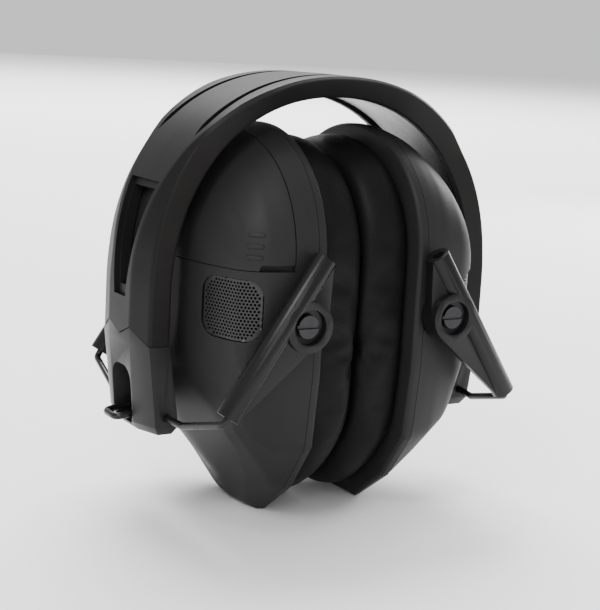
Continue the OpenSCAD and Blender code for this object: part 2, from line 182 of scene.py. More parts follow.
def grained(name, specular, rough, grain_mm, grain_depth, cloud_mm=14.0):
    """Moulded plastic still without colour: spark-eroded grain, faint clouding, a little handling polish."""
    finish = Finish(name, Specular_IOR_Level=specular)
    cloud = finish.noise(cloud_mm, 3.0)
    grain = finish.noise(grain_mm, 3.0, 0.6)
    speck = finish.cells(grain_mm * 1.6)
    finish.roughness((rough - 0.06 + cloud * 0.12 + grain * 0.04).clamped())
    finish.relief(grain * 0.6 + speck * 0.4, grain_depth)
    return finish, cloud, grain


def moulded(name, dark, light, *surface):
    """Moulded plastic that wavers between two close tones."""
    finish, cloud, grain = grained(name, *surface)
    finish.color(finish.mix((cloud * 0.7 + grain * 0.3).clamped(), dark, light))
    return finish.material


def soft_touch_cup():
    return moulded("soft_touch_cup", (0.013, 0.0131, 0.0132), (0.018, 0.0181, 0.0182),
                   0.15, 0.46, 0.28, 0.012, 22.0)


def headband_plastic():
    """Band plastic, with a lighter, warmer colour painted on its front and rear flanks as a painted sheen where
    light falls on them.
    """
    finish, _, _ = grained("headband_plastic", 0.12, 0.42, 0.4, 0.02)
    facing = finish.node("ShaderNodeNewGeometry", {}, {}, "Normal")
    parts = finish.node("ShaderNodeSeparateXYZ", {}, {0: facing}, 1)
    # Mask by facing: faces turned to the front or rear get the lighter, warmer colour, a painted sheen of the
    # light falling on the flanks.
    lit_flank_mask = finish.ramp(parts.math("ABSOLUTE"), (0.72, 0.0), (0.95, 1.0))
    cloud = finish.noise(9.0, 3.0)
    plain = finish.mix(cloud, (0.005, 0.005, 0.0051), (0.008, 0.0079, 0.008))
    # Painted sheen: the lighter, warmer tones for the lit flanks.
    painted_flank_sheen = finish.mix(cloud, (0.0075, 0.0068, 0.0066), (0.0115, 0.0105, 0.0102))
    finish.color(finish.mix(lit_flank_mask, plain, painted_flank_sheen))
    return finish.material


def end_cap_plastic():
    return moulded("end_cap_plastic", (0.010, 0.010, 0.0103), (0.015, 0.015, 0.0153),
                   0.20, 0.40, 0.4, 0.018)


def arm_nylon():
    return moulded("arm_nylon", (0.005, 0.005, 0.0052), (0.009, 0.009, 0.0092),
                   0.20, 0.27, 0.5, 0.012, 8.0)


def black_wire():
    finish = Finish("black_wire", Metallic=0.6)
    drawn = finish.noise(0.6, 3.0, 0.6, finish.stretched(0.15, 1.0, 1.0))
    finish.color(finish.mix(drawn, (0.010, 0.010, 0.011), (0.022, 0.022, 0.023)))
    finish.roughness(0.20 + drawn * 0.12)
    finish.relief(drawn, 0.006)
    return finish.material


def dark_screw():
    finish = Finish("dark_screw", Metallic=0.8)
    turned = finish.noise(0.35, 3.0, 0.65, finish.stretched(1.0, 0.1, 1.0))
    blotch = finish.noise(1.6, 3.0)
    finish.color(finish.mix(blotch, (0.020, 0.020, 0.022), (0.045, 0.045, 0.047)))
    finish.roughness(0.26 + turned * 0.12)
    finish.relief(turned, 0.008)
    return finish.material


def bright_steel():
    finish = Finish("bright_steel", Metallic=1.0)
    turned = finish.noise(0.3, 3.0, 0.65, finish.stretched(1.0, 0.1, 1.0))
    finish.color(finish.mix(turned, (0.42, 0.42, 0.43), (0.58, 0.58, 0.6)))
    finish.roughness(0.28 + turned * 0.14)
    finish.relief(turned, 0.006)
    return finish.material


def leatherette():
    finish = Finish("leatherette", Specular_IOR_Level=0.10)
    creases = finish.cells(1.1, "DISTANCE_TO_EDGE")
    pebble_and_crease_shade = finish.ramp(creases, (0.0, 0.0), (0.16, 1.0))
    pores = finish.noise(0.25, 3.0, 0.6)
    patch = finish.noise(12.0, 2.0)
    # The crease lines between the pebbles are painted darker, a painted shade in the grain's creases; the large
    # patches are random tone.
    finish.color(finish.mix(patch * 0.6 + pebble_and_crease_shade * 0.4, (0.003, 0.003, 0.0032), (0.006, 0.0058, 0.006)))
    finish.roughness((0.46 + patch * 0.12 - pebble_and_crease_shade * 0.06).clamped())
    finish.relief(pebble_and_crease_shade * 0.7 + pores * 0.3, 0.03, 0.5)
    return finish.material


def ear_foam():
    finish = Finish("ear_foam")
    cells_and_pore_shade = finish.cells(0.9)
    fuzz = finish.noise(0.4, 3.0)
    # Each foam cell is painted darkest in its middle, a painted shade in the pores.
    finish.color(finish.mix(cells_and_pore_shade, (0.012, 0.012, 0.013), (0.045, 0.045, 0.048)))
    finish.roughness(0.85 + fuzz * 0.1)
    finish.relief(cells_and_pore_shade + fuzz * 0.4, 0.3)
    return finish.material


def grille_sheet():
    finish = Finish("grille_sheet", Metallic=0.4)
    coat = finish.noise(0.5, 3.0)
    finish.color(finish.mix(coat, (0.014, 0.014, 0.0145), (0.028, 0.028, 0.029)))
    finish.roughness(0.28 + coat * 0.16)
    finish.relief(coat, 0.008)
    return finish.material


def liner_plastic():
    finish = Finish("liner_plastic", Specular_IOR_Level=0.5)
    flow = finish.noise(5.0, 3.0, 0.5, finish.stretched(0.4, 1.0, 0.4))
    dust = finish.noise(0.5, 2.0)
    finish.color(finish.mix(flow, (0.006, 0.006, 0.0065), (0.012, 0.012, 0.0125)))
    finish.roughness(0.16 + flow * 0.12 + dust * 0.05)
    finish.relief(flow, 0.02, 0.4)
    return finish.material


def cell_sleeve():
    finish = Finish("cell_sleeve", Metallic=0.5)
    smear = finish.noise(3.0, 3.0)
    finish.color(finish.mix(smear, (0.42, 0.30, 0.08), (0.58, 0.44, 0.13)))
    finish.roughness(0.26 + smear * 0.12)
    finish.relief(smear, 0.01)
    return finish.material


def circuit_laminate():
    finish = Finish("circuit_laminate")
    weave = finish.noise(0.5, 2.0)
    finish.color(finish.mix(weave, (0.01, 0.07, 0.03), (0.02, 0.13, 0.06)))
    finish.roughness(0.32 + weave * 0.15)
    finish.relief(weave, 0.02)
    return finish.material


def shaded_hollow():
    # Near-black colour for the sheet behind the grille, a painted shade of the hollow there; the cutters use it
    # too, and they are removed.
    finish = Finish("shaded_hollow", Specular_IOR_Level=0.1)
    hollow_shade_mottle = finish.noise(0.6, 2.0)
    finish.color(finish.mix(hollow_shade_mottle, (0.003, 0.003, 0.003), (0.006, 0.006, 0.006)))
    finish.roughness(0.85 + hollow_shade_mottle * 0.1)
    finish.relief(hollow_shade_mottle, 0.05)
    return finish.material


CUP = soft_touch_cup()
BAND = headband_plastic()
CAP = end_cap_plastic()
NYLON = arm_nylon()
WIRE = black_wire()
SCREW = dark_screw()
STEEL = bright_steel()
LEATHER = leatherette()
FOAM = ear_foam()
GRILLE = grille_sheet()
LINER = liner_plastic()
SLEEVE = cell_sleeve()
BOARD = circuit_laminate()
HOLLOW = shaded_hollow()


# ---- Mesh tools ----------------------------------------------------------------------------

def piece(name, points, faces, finish, sharp=30.0):
    """A mesh object from points in millimetres."""
    mesh = bpy.data.meshes.new(name)
    mesh.from_pydata([tuple(p) for p in np.asarray(points, float) * MM], [], faces)
    mesh.materials.append(finish)
    obj = bpy.data.objects.new(name, mesh)
    bpy.context.scene.collection.objects.link(obj)
    tidy_normals(obj, sharp)
    return obj


def tidy_normals(obj, sharp):
    work = bmesh.new()
    work.from_mesh(obj.data)
    bmesh.ops.recalc_face_normals(work, faces=work.faces)
    for face in work.faces:
        face.smooth = True
    work.to_mesh(obj.data)
    work.free()
    obj.data.set_sharp_from_angle(angle=math.radians(sharp))


def grid_faces(rows, columns, wrap_rows=False, wrap_columns=False, start=0):
    faces = []
    for i in range(rows if wrap_rows else rows - 1):
        for j in range(columns if wrap_columns else columns - 1):
            a, b = i * columns + j, i * columns + (j + 1) % columns
            c, d = (i + 1) % rows * columns + (j + 1) % columns, (i + 1) % rows * columns + j
            faces.append(tuple(start + k for k in (a, b, c, d)))
    return faces


def loft(name, rings, finish, sharp=30.0, capped=True, wrap_rows=False):
    """Surface through closed rings of equal length, with flat ends unless told otherwise."""
    rings = np.asarray(rings, float)
    count, size = rings.shape[:2]
    faces = grid_faces(count, size, wrap_rows, True)
    if capped and not wrap_rows:
        faces.append(tuple(range(size))[::-1])
        faces.append(tuple((count - 1) * size + k for k in range(size)))
    return piece(name, rings.reshape(-1, 3), faces, finish, sharp)


def settle(obj, sharp=30.0):
    """Replaces an object's mesh with its modified one."""
    bpy.context.view_layer.update()
    result = bpy.data.meshes.new_from_object(obj.evaluated_get(bpy.context.evaluated_depsgraph_get()))
    obj.modifiers.clear()
    obj.data = result
    for polygon in result.polygons:
        polygon.use_smooth = True
    result.set_sharp_from_angle(angle=math.radians(sharp))
    return obj


def carve(obj, cutters, operation="DIFFERENCE", sharp=30.0):
    for cutter in cutters:
        change = obj.modifiers.new("carve", "BOOLEAN")
        change.operation, change.solver, change.object = operation, "EXACT", cutter
    settle(obj, sharp)
    for cutter in cutters:
        bpy.data.objects.remove(cutter, do_unlink=True)
    return obj


def soften(obj, width_mm):
    """Rounds every edge sharper than 25 degrees."""
    edge = obj.modifiers.new("edge", "BEVEL")
    edge.width, edge.segments, edge.limit_method = width_mm * MM, 2, "ANGLE"
    edge.angle_limit = math.radians(25.0)
    edge.harden_normals = False
    settle(obj, 35.0)


def mirrored(obj, name):
    """A copy of a right-hand piece for the left side."""
    mesh = obj.data.copy()
    other = bpy.data.objects.new(name, mesh)
    bpy.context.scene.collection.objects.link(other)
    mesh.transform(Matrix.Scale(-1.0, 4, (1, 0, 0)))
    mesh.flip_normals()
    return other


def rounded_rectangle(a, b, r, steps=8):
    corners = []
    for k, (sx, sy) in enumerate(((1, 1), (-1, 1), (-1, -1), (1, -1))):
        for i in range(steps + 1):
            turn = math.radians(90 * k + 90 * i / steps)
            corners.append((sx * (a / 2 - r) + r * math.cos(turn), sy * (b / 2 - r) + r * math.sin(turn)))
    return np.array(corners)


def frame_of(direction):
    """Two axes across a direction: the first level, the second up the slope."""
    out = np.array(direction, float) / np.linalg.norm(direction)
    level = np.cross((0.0, 0.0, 1.0), out)
    level /= np.linalg.norm(level)
    return level, np.cross(out, level), out


def prism(name, outline, at, direction, low, high):
    """Straight prism for cutting, on an outline given along the level and upward axes across a direction."""
    level, up, out = frame_of(direction)
    rings = [[at + level * p[0] + up * p[1] + out * h for p in outline] for h in (low, high)]
    return loft(name, rings, HOLLOW)


def disc_outline(radius, steps=64):
    return [(radius * math.cos(2 * math.pi * k / steps), radius * math.sin(2 * math.pi * k / steps))
            for k in range(steps)]


def block(name, low, high):
    x0, y0, z0 = low
    x1, y1, z1 = high
    rings = [[(x, y0, z0), (x, y1, z0), (x, y1, z1), (x, y0, z1)] for x in (x0, x1)]
    return loft(name, rings, HOLLOW)


def spread_average(values, width):
    """Rounds a line's corners by averaging over a window, keeping its two ends."""
    count = len(values)
    result = np.array(values, float)
    for k in range(count):
        reach = min(width, k, count - 1 - k)
        result[k] = np.mean(values[k - reach:k + reach + 1], axis=0)
    return result


def rounded_path(points, radius, steps=8):
    """Polyline with its corners turned into arcs."""
    points = [np.array(p, float) for p in points]
    path = [points[0]]
    for before, here, after in zip(points, points[1:], points[2:]):
        a = (before - here) / np.linalg.norm(before - here)
        b = (after - here) / np.linalg.norm(after - here)
        half = math.acos(max(-1.0, min(1.0, float(a @ b)))) / 2
        shorter = min(np.linalg.norm(before - here), np.linalg.norm(after - here))
        cut = min(radius / math.tan(half), 0.45 * shorter)
        for k in range(steps + 1):
            t = k / steps
            path.append((1 - t) ** 2 * (here + a * cut) + 2 * t * (1 - t) * here + t * t * (here + b * cut))
    path.append(points[-1])
    return np.array(path)


def tube(name, path, radius, finish, sides=20):
    """Round bar along a path, with closed ends."""
    rings, across = [], None
    for k, point in enumerate(path):
        ahead = path[min(k + 1, len(path) - 1)] - path[max(k - 1, 0)]
        ahead /= np.linalg.norm(ahead)
        if across is None:
            across = np.cross(ahead, (0.0, 0.0, 1.0) if abs(ahead[2]) < 0.9 else (1.0, 0.0, 0.0))
        across = across - ahead * (across @ ahead)
        across /= np.linalg.norm(across)
        other = np.cross(ahead, across)
        rings.append([point + radius * (across * math.cos(a) + other * math.sin(a))
                      for a in np.linspace(0, 2 * math.pi, sides, endpoint=False)])
    return loft(name, rings, finish, 50.0)


def remade(node, width_mm, finish):
    """A CAD node with its flat faces merged and its edges eased."""
    obj = bpy.data.objects.new(node + "_eased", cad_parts[node].data.copy())
    bpy.context.scene.collection.objects.link(obj)
    work = bmesh.new()
    work.from_mesh(obj.data)
    bmesh.ops.remove_doubles(work, verts=work.verts, dist=0.00001)
    bmesh.ops.dissolve_limit(work, angle_limit=math.radians(1.5), verts=work.verts, edges=work.edges)
    work.to_mesh(obj.data)
    work.free()
    soften(obj, width_mm)
    obj.data.materials.clear()
    obj.data.materials.append(finish)
    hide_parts(node)
    return obj


# ---- Ear cups ------------------------------------------------------------------------------

def power_curve(value, power):
    return math.copysign(abs(value) ** (2 / power), value)


def cup_ring(row, inset=0.0):
    """Outline of the cup at one depth from its lowest point; corners keep their place in the list."""
    x, half, top, centre, straight, cy, cz, ky, kz, low = row
    x = x - inset * (x - RIM_FACE) / (CUP_ROWS[-1][0] - RIM_FACE)
    half, rise = half - inset, top - centre - inset
    crease, ridge = np.array((cy - inset, cz + inset * 0.4)), np.array((ky - inset * 0.6, kz + inset))
    run = crease - ridge
    bulge = (crease + ridge) / 2 + CUP_BULGE * np.array((run[1], -run[0]))
    corners = [(0.0, low + inset), ridge, bulge, crease, (half, straight), (half, centre)]
    right = []
    for (a, b), n in zip(zip(corners, corners[1:]), (8, 10, 10, 12, 14)):
        right += [(a[0] + (b[0] - a[0]) * k / n, a[1] + (b[1] - a[1]) * k / n) for k in range(n)]
    arc = [(half * power_curve(math.cos(a), CUP_TOP_POWER),
            centre + rise * power_curve(math.sin(a), CUP_TOP_POWER)) for a in np.linspace(0, math.pi, 65)]
    ring = right + arc + [(-y, z) for y, z in right[:0:-1]]
    return np.array([(x, y, z) for y, z in ring])


def even_ring(ring, count):
    """The same closed outline with evenly spaced points, beginning at the bottom."""
    closed = np.vstack([ring, ring[:1]])
    length = np.concatenate([[0], np.cumsum(np.linalg.norm(np.diff(closed, axis=0), axis=1))])
    at = np.linspace(0, length[-1], count, endpoint=False)
    return np.stack([np.interp(at, length, closed[:, k]) for k in range(3)], axis=1)


def smooth_around(ring, width):
    result = np.zeros_like(ring)
    for shift in range(-width, width + 1):
        result += np.roll(ring, shift, axis=0)
    return result / (2 * width + 1)


def cup_surface(inset=0.0):
    """Rings of the cup's outside, from the parting line to the middle of the outer face."""
    keys = [cup_ring(row, inset) for row in CUP_ROWS[2:]]
    flat = keys[-1]
    middle = flat.mean(axis=0)
    keys += [middle + (flat - middle) * s for s in (0.6, 0.25)]
    dense = []
    for a, b in zip(keys, keys[1:]):
        n = max(3, int(np.abs(b - a).max() / 1.1))
        dense += [a + (b - a) * k / n for k in range(n)]
    dense.append(keys[-1])
    dense = spread_average(np.array(dense), 2)
    dense[1:] = [smooth_around(r, 1) for r in dense[1:]]
    return dense


def cup_skin(name):
    """Closed shell of even thickness with the cup's outside."""
    outer = cup_surface(0.0)
    inner = cup_surface(SHELL_WALL)
    inner[0][:, 0] = outer[0][0, 0]
    rows, size = outer.shape[:2]
    points = np.vstack([outer.reshape(-1, 3), inner.reshape(-1, 3)])
    start = rows * size
    faces = grid_faces(rows, size, False, True)
    faces += [f[::-1] for f in grid_faces(rows, size, False, True, start)]
    faces += [(k, start + k, start + (k + 1) % size, (k + 1) % size) for k in range(size)]
    faces.append(tuple((rows - 1) * size + k for k in range(size)))
    faces.append(tuple(start + (rows - 1) * size + k for k in range(size))[::-1])
    return piece(name, points, faces, CUP, 38.0)


CUP_TREE = None
SIGHT_FROM = 0.02


def on_cup(at, direction):
    """Point and outward normal of the cup's surface below a place, looking along a direction."""
    start = Vector(np.asarray(at) * MM + np.asarray(direction) * SIGHT_FROM)
    hit, normal, _, _ = CUP_TREE.ray_cast(start, -Vector(direction))
    return (np.array(hit) / MM, np.array(normal)) if hit else (None, None)


def drape(name, outline, at, direction, profile, finish):
    """Outline laid on the cup, built up through pairs of size and height above the surface."""
    level, up, out = frame_of(direction)
    outline = np.array(outline)
    rings = []
    for size, lift in profile:
        ring = []
        for p in outline * size:
            spot, normal = on_cup(at + level * p[0] + up * p[1], out)
            ring.append(spot + normal * lift)
        rings.append(ring)
    return loft(name, rings, finish, 50.0)


def mic_hollow_shade(name):
    """Dark sheet just behind the perforated sheet, a painted shade for the hollow behind the holes."""
    outline = rounded_rectangle(GRILLE_WIDE - 0.5, GRILLE_HIGH - 0.5, GRILLE_CORNER - 0.3)
    profile = [(1.0, -2.0), (1.0, -1.3), (0.75, -1.3), (0.5, -1.3), (0.25, -1.3)]
    return drape(name, outline, GRILLE_AT, GRILLE_OUT, profile, HOLLOW)


def grille(name):
    """Perforated sheet behind the cup's window, with staggered round holes."""
    level, up, out = frame_of(GRILLE_OUT)
    pitch, hole, corner = GRILLE_PITCH, GRILLE_HOLE, GRILLE_CORNER - 0.2
    reach_a, reach_b = GRILLE_WIDE / 2 - 0.2, GRILLE_HIGH / 2 - 0.2
    points, faces, sides = [], [], 12

    def inside(a, b, margin):
        da, db = abs(a) - (reach_a - corner), abs(b) - (reach_b - corner)
        away = math.hypot(max(da, 0), max(db, 0)) if da > 0 and db > 0 else max(da, db)
        return away < corner - margin

    count = int(reach_a / pitch) + 3
    rows = int(reach_b / (pitch * 0.866)) + 3
    for i in range(-rows, rows + 1):
        for j in range(-count, count + 1):
            a = pitch * (j + 0.5 * (i % 2))
            b = pitch * 0.866 * i
            if not inside(a, b, -0.6):
                continue
            holed = inside(a, b, 0.6)
            rim = [(a + pitch * 0.5774 * math.cos(t), b + pitch * 0.5774 * math.sin(t))
                   for t in (math.radians(90 + 60 * k) for k in range(6))]
            edge = []
            for k in range(6):
                p, q = rim[k], rim[(k + 1) % 6]
                edge += [p, ((p[0] + q[0]) / 2, (p[1] + q[1]) / 2)]
            first = len(points)
            points += edge
            if holed:
                points += [(a + hole * math.cos(math.radians(90 + 30 * k)),
                            b + hole * math.sin(math.radians(90 + 30 * k))) for k in range(sides)]
                second = first + sides
                faces += [(first + k, first + (k + 1) % sides, second + (k + 1) % sides, second + k)
                          for k in range(sides)]
            else:
                faces.append(tuple(first + k for k in range(sides)))
    placed = []
    for a, b in points:
        a = max(-reach_a, min(reach_a, a))
        b = max(-reach_b, min(reach_b, b))
        spot, normal = on_cup(GRILLE_AT + level * a + up * b, out)
        placed.append(spot - normal * GRILLE_SUNK)
    obj = piece(name, placed, faces, GRILLE, 40.0)
    work = bmesh.new()
    work.from_mesh(obj.data)
    bmesh.ops.remove_doubles(work, verts=work.verts, dist=0.00004)
    work.to_mesh(obj.data)
    work.free()
    thick = obj.modifiers.new("thick", "SOLIDIFY")
    thick.thickness, thick.offset = GRILLE_THICK * MM, -1.0
    return settle(obj, 40.0)


def window_cutter():
    outline = rounded_rectangle(GRILLE_WIDE, GRILLE_HIGH, GRILLE_CORNER)
    return prism("window_cutter", outline, GRILLE_AT, GRILLE_OUT, -9, 6)


def finger_notch():
    """Slot under the front corner of the battery door for a fingernail."""
    outline = [(4.3, -1.6), (4.1, -0.2), (3.6, 0.75), (2.8, 0.95), (-1.0, 0.78), (-4.0, 0.95), (-6.5, 1.1),
               (-6.5, -1.6)]
    return prism("finger_notch", outline, NOTCH_AT, NOTCH_OUT, -6, 6)


def notch_floor(name):
    """Recessed face seen through the finger slot, on the left cup."""
    outline = [(6.0, -1.9), (6.0, 2.2), (-6.0, 2.2), (-6.0, -1.9)]
    level, up, out = frame_of(NOTCH_OUT)
    rings = []
    for lift in (-1.9, -1.5):
        ring = []
        for p in outline:
            spot, normal = on_cup(NOTCH_AT + level * p[0] + up * p[1], out)
            ring.append(spot + normal * lift)
        rings.append(ring)
    right = loft("notch_face", rings, CUP)
    left = mirrored(right, name)
    bpy.data.objects.remove(right, do_unlink=True)
    return left


def ring_seat(name):
    """Bottom of the knob's well, with a hole for the shaft."""
    level, up, out = frame_of(KNOB_OUT)
    rings = []
    for radius, depth in ((6.5, -3.0), (6.5, -1.35), (2.2, -1.35), (2.2, -3.0)):
        rings.append([KNOB_AT + out * depth + radius * (level * math.cos(a) + up * math.sin(a))
                      for a in np.linspace(0, 2 * math.pi, 64, endpoint=False)])
    return loft(name, rings, CUP, wrap_rows=True)


def rim(name):
    """Bevelled rim plate of a cup, open in the middle."""
    back = cup_ring(CUP_ROWS[2])
    back[:, 0] = RIM_BACK
    edge = cup_ring(CUP_ROWS[1])
    face = cup_ring(CUP_ROWS[0])
    inner = cup_ring(CUP_ROWS[1], 12.0)
    inner[:, 0] = RIM_FACE
    inner_back = inner.copy()
    inner_back[:, 0] = RIM_BACK
    steps = ((back, edge, (0, 0.45, 0.85)), (edge, face, (0.12, 0.5, 0.88)), (face, inner, (0.02, 0.5, 1)))
    rings = [a + (b - a) * t for a, b, shares in steps for t in shares] + [inner_back]
    return loft(name, rings, CUP, 32.0, wrap_rows=True)


# ---- Cushion -------------------------------------------------------------------------------

# Ear hollow, in millimetres: radius of its round ends and the heights of their centres
HOLLOW_R, HOLLOW_LOW, HOLLOW_HIGH = 20.0, 48.0, 68.0
CUSHION_INSET, CUSHION_CREST, CUSHION_BASE = 4.4, 0.25, 14.8


def hollow_point(y, z):
    """Point of the ear hollow's outline on the line from its middle towards a place."""
    middle = (HOLLOW_LOW + HOLLOW_HIGH) / 2
    dy, dz = y, z - middle
    length = math.hypot(dy, dz)
    dy, dz = dy / length, dz / length
    low, high = 0.0, 60.0
    for _ in range(30):
        t = (low + high) / 2
        py, pz = dy * t, middle + dz * t
        away = math.hypot(py, pz - min(max(pz, HOLLOW_LOW), HOLLOW_HIGH))
        low, high = (t, high) if away < HOLLOW_R else (low, t)
    return dy * low, middle + dz * low


# Cushion section: share of the way from the outer outline to the hollow, and distance outward in millimetres
CUSHION_PROFILE = [
    (0.06, 14.7), (0.0, 13.4), (-0.02, 10.5), (-0.01, 7.5), (0.02, 5.0), (0.07, 3.0), (0.15, 1.5), (0.26, 0.7),
    (0.40, 0.5), (0.55, 0.7), (0.70, 1.6), (0.83, 3.2), (0.93, 5.4), (0.985, 8.0), (1.0, 11.0), (1.0, 14.7)]


def cushion(name):
    """Padded ring: a rounded outer wall, a soft crest and a wall round the ear hollow."""
    outline = smooth_around(even_ring(cup_ring(CUP_ROWS[1], CUSHION_INSET), 150), 3)
    rings = []
    for share, x in CUSHION_PROFILE:
        ring = []
        for p in outline:
            inner = hollow_point(p[1], p[2])
            ring.append((x, p[1] + (inner[0] - p[1]) * share, p[2] + (inner[1] - p[2]) * share))
        rings.append(ring)
    obj = loft(name, rings, LEATHER, 60.0, wrap_rows=True)
    inflate(obj, 3.0, 1.6)
    for vertex in obj.data.vertices:
        vertex.co.x = min(max(vertex.co.x, CUSHION_CREST * MM), CUSHION_BASE * MM)
    fine = obj.modifiers.new("fine", "SUBSURF")
    fine.levels = fine.render_levels = 1
    return settle(obj, 60.0)


def inflate(obj, pressure, cap_mm):
    """Cloth that swells under pressure from its base, with a limit on how far a point moves."""
    start = np.array([v.co[:] for v in obj.data.vertices])
    held = obj.vertex_groups.new(name="held")
    held.add([v.index for v in obj.data.vertices if v.co.x > 13.0 * MM], 1.0, "REPLACE")
    hollow_shade_mottle = obj.modifiers.new("hollow_shade_mottle", "CLOTH")
    settings = hollow_shade_mottle.settings
    settings.vertex_group_mass = "held"
    settings.use_pressure = True
    settings.uniform_pressure_force = pressure
    settings.tension_stiffness = settings.compression_stiffness = 25.0
    settings.bending_stiffness = 0.6
    settings.shrink_min = -0.03
    settings.effector_weights.gravity = 0.0
    settings.quality = 6
    for step in range(1, 21):
        bpy.context.scene.frame_set(step)
    settle(obj, 60.0)
    bpy.context.scene.frame_set(1)
    for vertex, before in zip(obj.data.vertices, start):
        moved = np.array(vertex.co) - before
        length = np.linalg.norm(moved)
        if length > cap_mm * MM:
            vertex.co = before + moved * cap_mm * MM / length
    obj.vertex_groups.clear()


# ---- Headband ------------------------------------------------------------------------------

def band_point(t, depth):
    a = math.radians(t)
    return ((BAND_HALF_X - depth * BAND_THICK_X / BAND_THICK_Z) * power_curve(math.sin(a), BAND_POWER),
            BAND_Z + (BAND_RISE - depth) * power_curve(math.cos(a), BAND_POWER))


def share(value, start, end):
    return min(1.0, max(0.0, (value - start) / (end - start)))


def band_stations():
    """Angles from the crown down one side, then distances below the springing line."""
    return [(t, 0.0) for t in np.linspace(0, 90, 73)] + [(90.0, d) for d in (2.5, 5.0, 7.5, 10.0, 12.5, 14.5)]


def band_ring(t, drop):
    """Section of the band: wide at the crown, and on its sides a raised middle between sloping flanks."""
    low = share(t, 42, 82)  # 0 at the crown, 1 on the upright sides
    wide = CROWN_HALF_Y + (EDGE_HALF_Y - CROWN_HALF_Y) * share(t, 22, 50)
    crest = (wide - 1.0) + (6.8 - (wide - 1.0)) * low
    depth = 0.8 + (1.75 - 0.8) * low
    half = [(CHANNEL_DEPTH, 0.0), (CHANNEL_DEPTH, CHANNEL_HALF), (BAND_THICK_Z, CHANNEL_HALF),
            (BAND_THICK_Z, EDGE_HALF_Y), (depth, wide), (0.0, crest), (-0.12 * (1 - low), 0.0)]
    counts = (4, 8, 8, 14, 12, 20)
    line = []
    for (a, b), n in zip(zip(half, half[1:]), counts):
        line += [(a[0] + (b[0] - a[0]) * k / n, a[1] + (b[1] - a[1]) * k / n) for k in range(n)]
    line.append(half[-1])
    line = line + [(d, -y) for d, y in line[-2:0:-1]]
    line = smooth_around(np.array(line), 1)
    ring = []
    for depth, y in line:
        x, z = band_point(t, depth)
        ring.append((x, y, z - drop))
    return ring


def strip_ring(t, d0, d1, y0, y1):
    ring = []
    for depth, y in ((d1, y1), (d0, y1), (d0, y0), (d1, y0)):
        x, z = band_point(t, depth)
        ring.append((x, y, z))
    return ring


def wedge_cutter(t0, t1, half0, half1, depth):
    rings = []
    for k in range(13):
        t = t0 + (t1 - t0) * k / 12
        h = half0 + (half1 - half0) * k / 12
        rings.append(strip_ring(t, -1.0, depth, -h, h))
    return loft("wedge_cutter", rings, HOLLOW)


def groove_cutter(sign, t1):
    rings = []
    for k in range(25):
        t = -1.0 + (t1 + 1.0) * k / 24
        fade = min(1.0, (t1 - t) / 5.0 + 0.12)
        edges = sorted((sign * (11.3 - 1.3 * fade), sign * (11.3 + 1.3 * fade)))
        rings.append(strip_ring(t, -1.0, 1.6 * fade, *edges))
    return loft("groove_cutter", rings, HOLLOW)


def joint_cutter(shift):
    """Everything below the zigzag joint between the band and its end cap."""
    line = [(-20, 51), (-15, 51), (-6.6, 55.1), (0, 52.3), (6.6, 55.1), (15, 51), (20, 51)]
    outline = [(y, z + shift) for y, z in line] + [(20, 40), (-20, 40)]
    return loft("joint_cutter", [[(x, y, z) for y, z in outline] for x in (40, 72)], HOLLOW)


def headband_half(name):
    rings = [band_ring(t, drop) for t, drop in band_stations()]
    obj = loft(name, rings, BAND, 34.0)
    cutters = [wedge_cutter(61.5, 91, 8.6, 3.6, 0.9), wedge_cutter(63.5, 89, 6.9, 2.3, 4.0),
               groove_cutter(1, 46), groove_cutter(-1, 46), joint_cutter(0.12)]
    carve(obj, cutters, sharp=34.0)
    return obj


def headband_liner(name):
    """Glossy strip in the band's channel."""
    rings = []
    stations = [(t, 0.0) for t in np.linspace(0, 90, 121)] + [(90.0, d) for d in (2.0, 4.0, 6.3)]
    for t, drop in stations:
        ring = []
        for depth, y in ((3.2, 12.2), (3.2, -12.2), (5.0, -12.2), (5.3, -11.2), (5.3, -10.4), (5.3, -4.0),
                         (5.3, -3.0), (5.3, 3.0), (5.3, 4.0), (5.3, 10.4), (5.3, 11.2), (5.0, 12.2)):
            x, z = band_point(t, depth)
            ring.append((x, y, z - drop))
        rings.append(ring)
    return loft(name, rings, LINER, 25.0)


# ---- Wire ----------------------------------------------------------------------------------

CRANK_LONG, CRANK_DROP = 10.1, math.radians(9)


def wire_yoke(name):
    crank_x = HINGE[0] + CRANK_LONG * math.cos(CRANK_DROP)
    crank_z = HINGE[2] - CRANK_LONG * math.sin(CRANK_DROP)
    half = [TUBE_LOW + 42 * TUBE_DIR, (46.6, -41.1, 35.6), (49.0, -22.5, 30.7), (HINGE[0], -16.2, HINGE[2]),
            (HINGE[0], -3.8, HINGE[2]), (crank_x, -3.8, crank_z)]
    points = [np.array(p, float) for p in half]
    points += [p * np.array([1, -1, 1]) for p in points[::-1]]
    return tube(name, rounded_path(points, 2.2), 1.0, WIRE)


# ---- Assembly ------------------------------------------------------------------------------

FINISHES = {
    "headband_crown": BAND, "headband_liner_crown": LINER, "headband_side": BAND, "headband_liner": LINER,
    "end_cap": CAP, "wire_yoke": WIRE, "front_arm": NYLON, "rear_arm": NYLON, "cup_shell": CUP,
    "rim_plate": CUP, "ear_cushion": LEATHER, "foam_insert": FOAM, "speaker": STEEL, "pivot_screws": SCREW,
    "pivot_bushes": STEEL, "mic_mesh": GRILLE, "microphone": STEEL, "rim_screws": SCREW, "battery_door": CUP,
    "battery_door_hinge_pin": STEEL, "battery_tray": NYLON, "batteries": SLEEVE, "battery_contacts": STEEL,
    "circuit_board": BOARD, "volume_control": STEEL, "volume_knob": NYLON, "audio_socket": NYLON,
}


def finish_nodes():
    for name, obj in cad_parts.items():
        plain = name.split("_", 1)[1] if name.split("_", 1)[0] in SIDES else name
        material = FINISHES.get(plain) or FINISHES[name]
        for index in range(len(obj.data.materials)):
            obj.data.materials[index] = material
        if not obj.data.materials:
            obj.data.materials.append(material)


